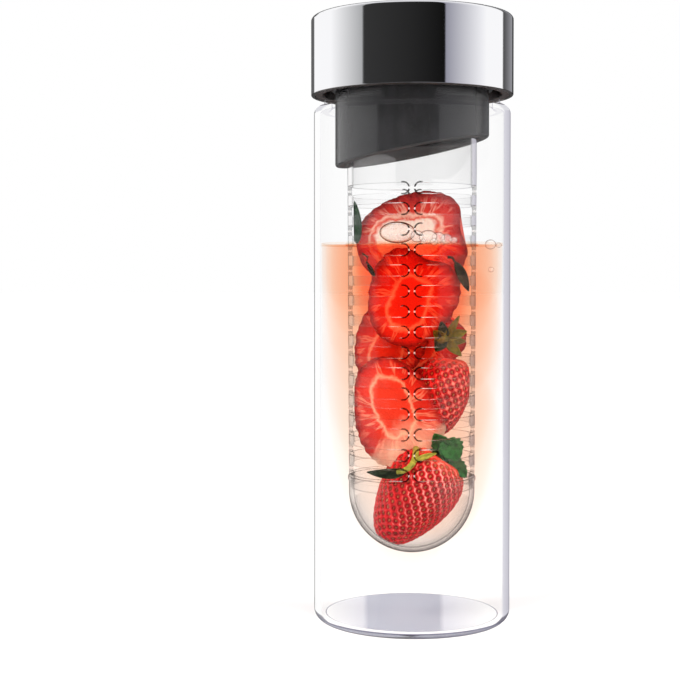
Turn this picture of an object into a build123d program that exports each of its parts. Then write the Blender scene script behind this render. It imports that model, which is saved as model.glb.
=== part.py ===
from build123d import *
import math
import os

os.makedirs("parts", exist_ok=True)

# Fruit infuser water bottle, in millimetres.
# Origin at the centre of the face it stands on, +Z up, long side of the oblique plug at -X.

# Clearances shared by the pieces
seat_gap = 0.1
slip_gap = 0.3
bond_gap = 0.05
wiper_gap = 0.1
overrun = 1.0

# Glass bottle
body_radius = 35.0
glass_wall = 2.1
floor_thickness = 2.4
base_corner = 4.5
shoulder_height = 183.6
shoulder_corner = 3.0
neck_inset = 3.7
neck_wall = 2.6
neck_height = 13.4
neck_root_round = 0.6
throat_round = 1.4
rim_round = 0.9

# Rim gasket, between the neck's rim and the stopper's flange
rim_gasket_thickness = 1.2
rim_gasket_inset = 0.3

# Stopper: an oblique plug, a flange and the threaded collar of the mouth
plug_gap = 1.3
socket_wall = 4.05
plug_depth_short = 25.8
plug_depth_long = 36.5
plug_edge_round = 1.0
socket_edge_round = 0.6
flange_thickness = 2.4
flange_edge_round = 0.5
collar_inset = 2.7
collar_root_round = 0.8
collar_wall = 4.6
mouth_lip_round = 1.3

# Neck seals, two wiper rings in grooves of the plug
seal_count = 2
seal_first_depth = 1.4
seal_pitch = 4.4
seal_height = 2.4
groove_depth = 1.6
seal_valley = 0.8
seal_lip_share = 0.75

# Strainer, a perforated cup clipped into the mouth
strainer_thickness = 1.2
strainer_height = 4.2
strainer_wall = 1.0
strainer_hole_radius = 1.7
strainer_land = 3.0
strainer_rings = 3
strainer_first_ring_holes = 6

# Chrome cap shell
cap_overhang = 1.0
cap_height = 27.9
cap_standoff = 3.5
cap_shell_wall = 0.8
cap_top_round = 1.3
cap_foot_round = 0.5
cap_lip_width = 1.4
cap_lip_height = 0.9
cap_lip_round = 0.3

# Cap liner, the threaded insert
liner_recess = 0.3
liner_plate = 2.2
liner_boss_height = 0.8
liner_shoulder_gap = 0.5
skirt_gap = 0.6
thread_allowance = 1.2

# Cap gasket, pressed on the rim of the mouth
cap_gasket_thickness = 1.5
cap_gasket_width = 5.6
cap_gasket_round = 0.3

# Infuser tube and the seal ring on its top
tube_draft = 0.55
tube_wall = 1.5
tube_straight = 20.0
tube_top_round = 0.4
tube_engagement = 7.5
ring_thickness = 1.2
ring_inset = 0.1
spigot_length = 4.0
spigot_wall = 0.7
spigot_gap = 0.2

# Slots of the infuser tube, in rows that leave upright ribs between them
slot_rows = 15
slot_height = 3.6
slot_margin = 0.7
slot_free_top = 26.68
rib_width = 2.4
rib_count = 4

# Infuser bowl, and the room left for the drink between it and the bottle's floor
bowl_clearance = 21.8
bowl_wall = 1.6
bowl_neck = 0.8
bowl_band_depth = 0.35
bowl_band_height = 1.4
bowl_band_round = 0.3

# Bottle heights and radii that follow
neck_radius = body_radius - neck_inset
neck_bore = neck_radius - neck_wall
body_bore = body_radius - glass_wall
rim_height = shoulder_height + neck_height
throat_height = shoulder_height - glass_wall

# Stopper and infuser radii that follow, from the neck inward
plug_radius = neck_bore - plug_gap
socket_radius = plug_radius - socket_wall
tube_top_radius = socket_radius - slip_gap
tube_foot_radius = tube_top_radius - tube_draft
tube_top_bore = tube_top_radius - tube_wall
tube_foot_bore = tube_foot_radius - tube_wall
groove_radius = plug_radius - groove_depth
flange_radius = neck_radius
collar_radius = flange_radius - collar_inset
mouth_radius = collar_radius - collar_wall

# Stopper heights that follow
rim_gasket_bottom = rim_height + seat_gap
flange_bottom = rim_gasket_bottom + rim_gasket_thickness
flange_top = flange_bottom + flange_thickness
short_end = flange_bottom - plug_depth_short
long_end = flange_bottom - plug_depth_long
plug_diameter = plug_radius + plug_radius
plug_slant = math.atan2(short_end - long_end, plug_diameter)

# Cap heights and radii that follow
cap_radius = body_radius + cap_overhang
cap_bottom = shoulder_height + cap_standoff
cap_top = cap_bottom + cap_height
shell_bore = cap_radius - cap_shell_wall
shell_ceiling = cap_top - cap_shell_wall
lip_bore = cap_radius - cap_lip_width
lip_top = cap_bottom + cap_lip_height
liner_top = shell_ceiling - bond_gap
liner_radius = shell_bore - bond_gap
liner_foot = cap_bottom + liner_recess
liner_ceiling = liner_top - liner_plate
liner_shoulder = flange_top + liner_shoulder_gap
skirt_bore = neck_radius + skirt_gap
thread_bore = collar_radius + thread_allowance
cap_gasket_outer = thread_bore - slip_gap
cap_gasket_inner = cap_gasket_outer - cap_gasket_width
cap_gasket_top = liner_ceiling - seat_gap
cap_gasket_bottom = cap_gasket_top - cap_gasket_thickness
mouth_height = cap_gasket_bottom - seat_gap

# Infuser heights and the radii of its joint that follow
tube_top = short_end + tube_engagement
ring_bottom = tube_top + seat_gap
ring_top = ring_bottom + ring_thickness
socket_ceiling = ring_top + seat_gap
taper_height = tube_top - tube_straight
bowl_bottom = floor_thickness + bowl_clearance
bowl_centre = bowl_bottom + tube_foot_radius
bowl_ledge = bowl_centre + bowl_neck
spigot_bottom = bowl_ledge + spigot_gap
parting_height = spigot_bottom + spigot_length
spigot_radius = tube_foot_bore + spigot_wall
first_row = parting_height + slot_margin + slot_height / 2
last_row = tube_top - slot_free_top
slot_pitch = (last_row - first_row) / (slot_rows - 1)
bowl_rim = parting_height - seat_gap
bowl_socket = spigot_radius + spigot_gap
bowl_bore = tube_foot_radius - bowl_wall
bowl_band_radius = tube_foot_radius + bowl_band_depth


def corners(sketch, *points):
    """The vertices of a section that stand at the given points."""
    return [sketch.vertices().sort_by_distance(point)[0] for point in points]


# The bottle: one wall from the standing face to the rim of the neck
with BuildPart() as glass_bottle:
    with BuildSketch(Plane.XZ) as bottle_section:
        with BuildLine():
            Polyline(
                (0, 0),
                (body_radius, 0),
                (body_radius, shoulder_height),
                (neck_radius, shoulder_height),
                (neck_radius, rim_height),
                (neck_bore, rim_height),
                (neck_bore, throat_height),
                (body_bore, throat_height),
                (body_bore, floor_thickness),
                (0, floor_thickness),
                close=True,
            )
        make_face()
        fillet(corners(bottle_section, (body_radius, 0)), base_corner)
        fillet(corners(bottle_section, (body_bore, floor_thickness)), base_corner - glass_wall)
        fillet(corners(bottle_section, (body_radius, shoulder_height)), shoulder_corner)
        fillet(corners(bottle_section, (body_bore, throat_height)), shoulder_corner - glass_wall)
        fillet(corners(bottle_section, (neck_radius, shoulder_height)), neck_root_round)
        fillet(corners(bottle_section, (neck_bore, throat_height)), throat_round)
        fillet(corners(bottle_section, (neck_radius, rim_height), (neck_bore, rim_height)), rim_round)
    revolve(axis=Axis.Z)
glass_bottle.part.label = "glass_bottle"
export_step(glass_bottle.part, "parts/glass_bottle.step")


# The gasket that lies on the rim, under the flange
with BuildPart() as rim_gasket:
    with BuildSketch(Plane.XY.offset(rim_gasket_bottom)):
        Circle(neck_radius - rim_gasket_inset)
        Circle(plug_radius + bond_gap, mode=Mode.SUBTRACT)
    extrude(amount=rim_gasket_thickness)
rim_gasket.part.label = "rim_gasket"
export_step(rim_gasket.part, "parts/rim_gasket.step")


# The stopper, cut obliquely below so that the last of the drink drains to one side
seal_centres = [
    rim_height - seal_first_depth - seal_height / 2 - index * seal_pitch for index in range(seal_count)
]
with BuildPart() as stopper:
    with BuildSketch(Plane.XZ) as stopper_section:
        with BuildLine():
            Polyline(
                (socket_radius, long_end - overrun),
                (plug_radius, long_end - overrun),
                (plug_radius, flange_bottom),
                (flange_radius, flange_bottom),
                (flange_radius, flange_top),
                (collar_radius, flange_top),
                (collar_radius, mouth_height),
                (mouth_radius, mouth_height),
                (mouth_radius, flange_bottom),
                (tube_top_bore, flange_bottom),
                (tube_top_bore, socket_ceiling),
                (socket_radius, socket_ceiling),
                close=True,
            )
        make_face()
        fillet(
            corners(stopper_section, (flange_radius, flange_bottom), (flange_radius, flange_top)),
            flange_edge_round,
        )
        fillet(corners(stopper_section, (collar_radius, flange_top)), collar_root_round)
        fillet(
            corners(stopper_section, (collar_radius, mouth_height), (mouth_radius, mouth_height)),
            mouth_lip_round,
        )
    revolve(axis=Axis.Z)
    with BuildSketch(Plane.XZ):
        with Locations(*[(groove_radius, centre) for centre in seal_centres]):
            Rectangle(groove_depth + overrun, seal_height, align=(Align.MIN, Align.CENTER))
    revolve(axis=Axis.Z, mode=Mode.SUBTRACT)
    split(
        bisect_by=Plane(
            origin=(0, 0, (short_end + long_end) / 2),
            z_dir=(-math.sin(plug_slant), 0, math.cos(plug_slant)),
        ),
        keep=Keep.TOP,
    )
    oblique_face = stopper.faces().sort_by(Axis.Z)[0]
    fillet(oblique_face.outer_wire().edges(), plug_edge_round)
    oblique_face = stopper.faces().filter_by(GeomType.PLANE).sort_by(Axis.Z)[0]
    fillet(oblique_face.inner_wires()[0].edges(), socket_edge_round)
stopper.part.label = "stopper"
export_step(stopper.part, "parts/stopper.step")


# The neck seals: a foot in the groove and two lips that wipe the neck
seal_names = ["neck_seal_upper", "neck_seal_lower"]
seal_foot_radius = groove_radius + bond_gap
seal_lip_radius = neck_bore - wiper_gap
seal_half = seal_height / 2 - bond_gap
lip_rise = seal_half * seal_lip_share
for seal_name, centre in zip(seal_names, seal_centres):
    with BuildPart() as neck_seal:
        with BuildSketch(Plane.XZ):
            with BuildLine():
                Polyline(
                    (seal_foot_radius, centre - seal_half),
                    (plug_radius, centre - seal_half),
                    (seal_lip_radius, centre - lip_rise),
                    (seal_lip_radius - seal_valley, centre),
                    (seal_lip_radius, centre + lip_rise),
                    (plug_radius, centre + seal_half),
                    (seal_foot_radius, centre + seal_half),
                    close=True,
                )
            make_face()
        revolve(axis=Axis.Z)
    neck_seal.part.label = seal_name
    export_step(neck_seal.part, f"parts/{seal_name}.step")


# The strainer: a shallow cup with rings of round holes, which holds fruit and ice back
strainer_radius = mouth_radius - bond_gap
strainer_reach = strainer_radius - strainer_wall - strainer_land - strainer_hole_radius
strainer_ring_pitch = strainer_reach / strainer_rings
with BuildPart() as strainer:
    with BuildSketch(Plane.XY.offset(flange_bottom)):
        Circle(strainer_radius)
    extrude(amount=strainer_thickness)
    with BuildSketch(Plane.XY.offset(flange_bottom)):
        Circle(strainer_radius)
        Circle(strainer_radius - strainer_wall, mode=Mode.SUBTRACT)
    extrude(amount=strainer_height)
    with BuildSketch(Plane.XY.offset(flange_bottom)):
        Circle(strainer_hole_radius)
        for ring in range(1, strainer_rings + 1):
            with PolarLocations(ring * strainer_ring_pitch, ring * strainer_first_ring_holes):
                Circle(strainer_hole_radius)
    extrude(amount=strainer_thickness, mode=Mode.SUBTRACT)
strainer.part.label = "strainer"
export_step(strainer.part, "parts/strainer.step")


# The chrome shell: a drawn cup with its foot rolled in under the liner
with BuildPart() as cap_shell:
    with BuildSketch(Plane.XZ) as shell_section:
        with BuildLine():
            Polyline(
                (0, cap_top),
                (cap_radius, cap_top),
                (cap_radius, cap_bottom),
                (lip_bore, cap_bottom),
                (lip_bore, lip_top),
                (shell_bore, lip_top),
                (shell_bore, shell_ceiling),
                (0, shell_ceiling),
                close=True,
            )
        make_face()
        fillet(corners(shell_section, (cap_radius, cap_top)), cap_top_round)
        fillet(corners(shell_section, (shell_bore, shell_ceiling)), cap_top_round - cap_shell_wall)
        fillet(corners(shell_section, (cap_radius, cap_bottom)), cap_foot_round)
        fillet(corners(shell_section, (lip_bore, cap_bottom)), cap_lip_round)
    revolve(axis=Axis.Z)
cap_shell.part.label = "cap_shell"
export_step(cap_shell.part, "parts/cap_shell.step")


# The liner: a skirt round the neck, the bore for the collar's thread, and a boss for the gasket
with BuildPart() as cap_liner:
    with BuildSketch(Plane.XZ) as liner_section:
        with BuildLine():
            Polyline(
                (0, liner_top),
                (liner_radius, liner_top),
                (liner_radius, lip_top + bond_gap),
                (lip_bore - bond_gap, lip_top + bond_gap),
                (lip_bore - bond_gap, liner_foot),
                (skirt_bore, liner_foot),
                (skirt_bore, liner_shoulder),
                (thread_bore, liner_shoulder),
                (thread_bore, liner_ceiling),
                (cap_gasket_inner - slip_gap, liner_ceiling),
                (cap_gasket_inner - slip_gap, liner_ceiling - liner_boss_height),
                (0, liner_ceiling - liner_boss_height),
                close=True,
            )
        make_face()
        fillet(corners(liner_section, (liner_radius, liner_top)), cap_top_round - cap_shell_wall)
        fillet(corners(liner_section, (skirt_bore, liner_foot)), cap_lip_round)
    revolve(axis=Axis.Z)
cap_liner.part.label = "cap_liner"
export_step(cap_liner.part, "parts/cap_liner.step")


# The gasket round the liner's boss
with BuildPart() as cap_gasket:
    with BuildSketch(Plane.XY.offset(cap_gasket_bottom)):
        Circle(cap_gasket_outer)
        Circle(cap_gasket_inner, mode=Mode.SUBTRACT)
    extrude(amount=cap_gasket_thickness)
    fillet(cap_gasket.edges().group_by(Axis.Z)[0], cap_gasket_round)
cap_gasket.part.label = "cap_gasket"
export_step(cap_gasket.part, "parts/cap_gasket.step")


# The seal ring that lies on the infuser's top, inside the socket
with BuildPart() as infuser_seal:
    with BuildSketch(Plane.XY.offset(ring_bottom)):
        Circle(tube_top_radius - ring_inset)
        Circle(tube_top_bore, mode=Mode.SUBTRACT)
    extrude(amount=ring_thickness)
infuser_seal.part.label = "infuser_seal"
export_step(infuser_seal.part, "parts/infuser_seal.step")


# One row of slots: round-ended cuts between the upright ribs, at the height of the origin
rib_angle = 360 / rib_count
slot_radius = slot_height / 2
slot_end_angle = math.degrees((rib_width / 2 + slot_radius) / tube_foot_radius)
slot_sweep = rib_angle - 2 * slot_end_angle
cut_bore = tube_foot_bore - overrun
cut_radius = tube_top_radius + overrun


def upright_plane(angle):
    """The plane through the axis of the bottle and the direction at this angle."""
    turn = math.radians(angle)
    return Plane(
        origin=(0, 0, 0),
        x_dir=(math.cos(turn), math.sin(turn), 0),
        z_dir=(math.sin(turn), -math.cos(turn), 0),
    )


def outward_plane(angle, distance):
    """The plane that faces outward at this angle and distance from the axis."""
    turn = math.radians(angle)
    outward = Vector(math.cos(turn), math.sin(turn), 0)
    return Plane(origin=outward * distance, x_dir=(0, 0, 1), z_dir=outward)


with BuildPart() as slot_row:
    for rib in range(rib_count):
        start = rib * rib_angle + slot_end_angle
        with BuildSketch(upright_plane(start)):
            with Locations(((cut_bore + cut_radius) / 2, 0)):
                Rectangle(cut_radius - cut_bore, slot_height)
        revolve(axis=Axis.Z, revolution_arc=slot_sweep)
        for angle in (start, start + slot_sweep):
            with BuildSketch(outward_plane(angle, cut_bore)):
                Circle(slot_radius)
            extrude(amount=cut_radius - cut_bore)

# The infuser tube: a tapered clear tube with a spigot for the bowl, open in rows of slots
with BuildPart() as infuser_tube:
    with BuildSketch(Plane.XZ) as tube_section:
        with BuildLine():
            Polyline(
                (tube_top_bore, tube_top),
                (tube_top_radius, tube_top),
                (tube_top_radius, taper_height),
                (tube_foot_radius, parting_height),
                (spigot_radius, parting_height),
                (spigot_radius, spigot_bottom),
                (tube_foot_bore, spigot_bottom),
                (tube_foot_bore, parting_height),
                (tube_top_bore, taper_height),
                close=True,
            )
        make_face()
        fillet(corners(tube_section, (tube_top_radius, tube_top)), tube_top_round)
    revolve(axis=Axis.Z)
    with Locations(*[(0, 0, first_row + row * slot_pitch) for row in range(slot_rows)]):
        add(slot_row.part, mode=Mode.SUBTRACT)
infuser_tube.part.label = "infuser_tube"
export_step(infuser_tube.part, "parts/infuser_tube.step")


# The bowl: a round-bottomed cup with a low band at its rim, which slips over the spigot
with BuildPart() as infuser_bowl:
    with BuildSketch(Plane.XZ) as bowl_section:
        with BuildLine():
            CenterArc((0, bowl_centre), tube_foot_radius, -90, 90)
            Polyline(
                (tube_foot_radius, bowl_centre),
                (tube_foot_radius, bowl_rim - bowl_band_height),
                (bowl_band_radius, bowl_rim - bowl_band_height),
                (bowl_band_radius, bowl_rim),
                (bowl_socket, bowl_rim),
                (bowl_socket, bowl_ledge),
                (bowl_bore, bowl_ledge),
                (bowl_bore, bowl_centre),
            )
            CenterArc((0, bowl_centre), bowl_bore, 0, -90)
            Line((0, bowl_centre - bowl_bore), (0, bowl_bottom))
        make_face()
        fillet(
            corners(
                bowl_section,
                (bowl_band_radius, bowl_rim - bowl_band_height),
                (bowl_band_radius, bowl_rim),
            ),
            bowl_band_round,
        )
    revolve(axis=Axis.Z)
infuser_bowl.part.label = "infuser_bowl"
export_step(infuser_bowl.part, "parts/infuser_bowl.step")
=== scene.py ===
import math

import bmesh
import bpy
import numpy as np
from mathutils import Euler, Matrix, Vector


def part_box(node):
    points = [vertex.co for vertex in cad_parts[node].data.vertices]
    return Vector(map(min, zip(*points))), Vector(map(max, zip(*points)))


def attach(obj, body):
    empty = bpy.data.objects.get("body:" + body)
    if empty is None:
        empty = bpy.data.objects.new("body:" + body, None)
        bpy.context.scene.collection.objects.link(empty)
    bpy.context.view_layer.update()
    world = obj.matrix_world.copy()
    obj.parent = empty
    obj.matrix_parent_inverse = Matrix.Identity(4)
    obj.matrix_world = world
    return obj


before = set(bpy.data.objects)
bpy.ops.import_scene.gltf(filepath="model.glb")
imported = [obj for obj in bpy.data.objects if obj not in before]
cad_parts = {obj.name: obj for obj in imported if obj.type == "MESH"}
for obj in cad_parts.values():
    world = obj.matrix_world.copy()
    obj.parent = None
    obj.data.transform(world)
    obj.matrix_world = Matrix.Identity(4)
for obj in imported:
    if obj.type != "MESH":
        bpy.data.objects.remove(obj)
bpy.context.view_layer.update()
scene = bpy.context.scene
mm = 0.001


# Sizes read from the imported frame: two outer radii, and the top of the cap's rolled foot in millimetres
glass_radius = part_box("glass_bottle")[1].x
tube_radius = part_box("infuser_tube")[1].x
cap_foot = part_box("cap_shell")[0].z / mm + 0.35

# In millimetres: the rows of slots in the infuser tube, how far a slot's round end lies from its rib and
# its painted shade mark reaches on, the tube's face, where the tube is painted dark with the stopper's
# shadow in its socket, and the middle of the bowl's round
slot_pitch = 7.08
first_row = 54.2
last_row = first_row + 14 * slot_pitch
slot_end = 3.0
end_reach = 0.7
tube_face = 22.6
socket_shade_start = 171.2
socket_shade_full = 172.8
bowl_centre = 46.7


# Helpers for node trees. A colour is a socket, three parts, or a number for a grey.
def new_tree(name):
    """A material with an empty tree."""
    material = bpy.data.materials.new(name)
    material.use_nodes = True
    material.node_tree.nodes.clear()
    return material, material.node_tree


def is_socket(value):
    return isinstance(value, bpy.types.NodeSocket)


def rgba(colour):
    return (*colour, 1.0) if isinstance(colour, tuple) else (colour, colour, colour, 1.0)


def node(tree, kind, inputs=None, **settings):
    """A node with its settings, and with each input linked to a socket or set to a value."""
    made = tree.nodes.new("ShaderNode" + kind)
    for key, value in settings.items():
        setattr(made, key, value)
    for key, value in (inputs or {}).items():
        if is_socket(value):
            tree.links.new(value, made.inputs[key])
        else:
            made.inputs[key].default_value = value
    return made


def tree_of(*values):
    """The node tree of the first socket among the values."""
    return next(value.id_data for value in values if is_socket(value))


def math_node(operation, first, second=0.0, third=0.0):
    inputs = {0: first, 1: second, 2: third}
    return node(tree_of(first, second, third), "Math", inputs, operation=operation).outputs[0]


def plus(first, second):
    return math_node("ADD", first, second)


def minus(first, second):
    return math_node("SUBTRACT", first, second)


def times(*factors):
    """The product of some sockets and numbers."""
    result = factors[0]
    for factor in factors[1:]:
        result = math_node("MULTIPLY", result, factor)
    return result


def more_than(value, limit):
    """1 where the value is over the limit, or else 0."""
    return math_node("GREATER_THAN", value, limit)


def less_than(value, limit):
    """1 where the value is under the limit, or else 0."""
    return math_node("LESS_THAN", value, limit)


def xyz(vector):
    """The three parts of a vector."""
    return node(vector.id_data, "SeparateXYZ", {"Vector": vector}).outputs[:3]


def ramp(factor, stops):
    """A colour ramp from (place, colour) stops, the places from 0 to 1."""
    made = node(factor.id_data, "ValToRGB", {"Fac": factor})
    elements = made.color_ramp.elements
    while len(elements) < len(stops):
        elements.new(0.5)
    for element, (place, colour) in zip(elements, sorted(stops)):
        element.position = place
        element.color = rgba(colour)
    return made.outputs["Color"]


def ramp_over(value, span, stops):
    """A colour ramp whose places are in the value's own unit, from 0 to the span."""
    return ramp(times(value, 1 / span), [(place / span, colour) for place, colour in stops])


def mix_colour(factor, first, second):
    first, second = (colour if is_socket(colour) else rgba(colour) for colour in (first, second))
    inputs = {"Factor": factor, 6: first, 7: second}
    return node(factor.id_data, "Mix", inputs, data_type="RGBA").outputs[2]


def mix_shader(factor, first, second):
    return node(first.id_data, "MixShader", {"Fac": factor, 1: first, 2: second}).outputs[0]


def object_coordinates(tree, stretch=(1.0, 1.0, 1.0)):
    """Object coordinates in millimetres, stretched."""
    place = node(tree, "TexCoord").outputs["Object"]
    scale = [share / mm for share in stretch]
    return node(tree, "Mapping", {"Vector": place, "Scale": scale}).outputs[0]


def noise(tree, scale, detail=3.0, roughness=0.5, stretch=(1.0, 1.0, 1.0), vector=None):
    """Noise from 0 to 1, over the object's millimetres unless a vector is given."""
    if vector is None:
        vector = object_coordinates(tree, stretch)
    inputs = {"Vector": vector, "Scale": scale, "Detail": detail, "Roughness": roughness}
    return node(tree, "TexNoise", inputs).outputs["Fac"]


def bump(height, distance):
    return node(height.id_data, "Bump", {"Height": height, "Distance": distance}).outputs["Normal"]


def object_normal(tree):
    return node(tree, "TexCoord").outputs["Normal"]


def finished(material, shader, kind="Surface"):
    """The material, with a shader's socket as its surface or its volume."""
    output = material.node_tree.nodes.new("ShaderNodeOutputMaterial")
    material.node_tree.links.new(shader, output.inputs[kind])
    return material


def principled(material, inputs):
    return finished(material, node(material.node_tree, "BsdfPrincipled", inputs).outputs[0])


# Materials of the bottle
def across_and_up(tree):
    """The distance from the bottle's axis and the height, both in millimetres, and all three parts."""
    parts = xyz(object_coordinates(tree))
    flat = node(tree, "CombineXYZ", {"X": parts[0], "Y": parts[1]}).outputs[0]
    across = node(tree, "VectorMath", {0: flat}, operation="LENGTH").outputs["Value"]
    return across, parts[2], parts


def turned_away(tree, wave_height):
    """How far a surface turns from the eye (0 to 1), whether its front is seen, and its wavy normal."""
    wave = noise(tree, 1.0, 1.0, stretch=(0.03, 0.03, 0.012))
    surface = bump(wave, wave_height)
    facing = node(tree, "LayerWeight", {"Blend": 0.5, "Normal": surface}).outputs["Facing"]
    front = minus(1.0, node(tree, "NewGeometry").outputs["Backfacing"])
    return facing, front, surface


def clear_shader(tree, tint, gloss, shine, surface):
    """See-through with a tint, and mirroring by a share. Shadows and soft light pass straight through."""
    clear = node(tree, "BsdfTransparent", {"Color": tint})
    mirror = node(tree, "BsdfGlossy", {"Color": shine, "Roughness": 0.0, "Normal": surface})
    path = node(tree, "LightPath")
    soft = math_node("MAXIMUM", path.outputs["Is Shadow Ray"], path.outputs["Is Diffuse Ray"])
    return mix_shader(times(gloss, minus(1.0, soft)), clear.outputs[0], mirror.outputs[0])


# What parts the glass's faces: distances from the axis, then heights, in millimetres
outer_face = 34.0
wide_face = 33.2
floor_face = 30.9
neck_face = 30.6
neck_foot = 184.0
low_wall = 9.0
foot_height = 4.0
floor_top = 2.7

# How much the glass's thick floor and foot mirror, as shares
floor_gloss = 0.58
foot_gloss = 0.90


def glass_material():
    """Thin clear glass. Its outside mirrors the room towards its edges, and its thick foot looks grey from
    painted shade.
    """
    material, tree = new_tree("clear_glass")
    across, up, _ = across_and_up(tree)
    facing, front, surface = turned_away(tree, 0.02 * mm)
    beyond_neck = more_than(across, neck_face)
    edge = ramp(facing, [(0.60, 0.012), (0.665, 0.90), (1.0, 0.97)])
    plain = ramp(facing, [(0.0, 0.008), (0.8, 0.015), (1.0, 0.06)])
    gloss = mix_colour(times(more_than(across, outer_face), front), plain, edge)
    neck_edge = ramp(facing, [(0.84, 0.01), (0.90, 0.70), (1.0, 0.90)])
    neck = times(more_than(up, neck_foot), beyond_neck, front)
    gloss = mix_colour(neck, gloss, neck_edge)
    floor = times(less_than(up, floor_top), less_than(across, floor_face), front)
    gloss = mix_colour(floor, gloss, floor_gloss)
    # Painted shade: the thick foot mirrors strongly, and what it mirrors there is painted darker
    foot = times(ramp_over(up, 10, [(2.0, 1.0), (2.35, 0.0)]), beyond_neck, front)
    gloss = mix_colour(foot, gloss, foot_gloss)
    # Painted shade: a blue-grey line round the outside of the foot
    blue_grey = (0.20, 0.20, 0.28)
    line = ramp_over(up, 10, [(1.9, 1.0), (2.1, blue_grey), (2.5, blue_grey), (2.8, 1.0)])
    thin = ramp(facing, [(0.0, 1.0), (0.85, 0.985), (0.93, (0.84, 0.83, 0.87))])
    thin = mix_colour(less_than(up, low_wall), thin, 1.0)
    foot_shade_band = times(more_than(across, wide_face), front, less_than(up, foot_height))
    tint = mix_colour(foot_shade_band, thin, line)
    dusk = (0.25, 0.25, 0.29)
    # Painted shade: the foot's reflections are darkened, from dusk up to white above the foot
    shaded_foot_shine = ramp_over(up, 10, [(2.0, (0.38, 0.38, 0.44)), (2.8, dusk), (3.8, dusk), (4.4, 1.0)])
    shine = mix_colour(beyond_neck, 1.0, shaded_foot_shine)
    return finished(material, clear_shader(tree, tint, gloss, shine, surface))


def slot_marks(tree, parts):
    """Where the slots' round ends get painted shade, and where their long edges get painted highlights."""
    x, y, up = parts
    quarter = math.pi / 2
    whole_turns = 8 * quarter
    turned = plus(math_node("ARCTAN2", y, x), whole_turns + quarter / 2)
    from_rib = minus(math_node("MODULO", turned, quarter), quarter / 2)
    aside = times(math_node("ABSOLUTE", from_rib), tube_face)
    risen = plus(up, slot_pitch / 2 - first_row)
    row_height = minus(math_node("MODULO", risen, slot_pitch), slot_pitch / 2)
    apart = math_node("ABSOLUTE", row_height)
    from_end = minus(aside, slot_end)
    away = math_node("SQRT", plus(times(from_end, from_end), times(row_height, row_height)))
    ring = ramp_over(away, 5, [(0.75, 0.0), (1.0, 1.0), (2.2, 1.0), (2.4, 0.0)])
    in_rows = times(more_than(up, first_row - slot_pitch / 2), less_than(up, last_row + slot_pitch / 2))
    end = times(ring, less_than(aside, slot_end + end_reach), in_rows)
    dark = times(end, ramp_over(apart, 2.5, [
        (0.325, 0.0), (0.425, 1.0), (1.1, 1.0), (1.3, 0.65), (1.8, 0.75),
    ]))
    glint = times(end, ramp_over(apart, 2.5, [(0.275, 0.42), (0.4, 0.0)]))
    rim = ramp_over(apart, 2.5, [(1.8125, 0.0), (1.85, 1.0), (1.9625, 1.0), (2.025, 0.0)])
    patchy = ramp(noise(tree, 0.16, 1.0), [(0.44, 0.0), (0.62, 0.75)])
    near = ramp_over(aside, 20, [(3.0, 0.0), (3.6, 1.0), (6.4, 1.0), (9.6, 0.15)])
    light = math_node("MAXIMUM", glint, times(rim, near, patchy, in_rows))
    return dark, light


def cut_faces(tree, across, parts):
    """Where a face looks neither in to the bottle's axis nor out, as the slots' own faces do."""
    normal = xyz(object_normal(tree))
    radial = math_node("DIVIDE", plus(times(normal[0], parts[0]), times(normal[1], parts[1])), across)
    return ramp(math_node("ABSOLUTE", radial), [(0.35, 1.0), (0.70, 0.0)])


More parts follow.
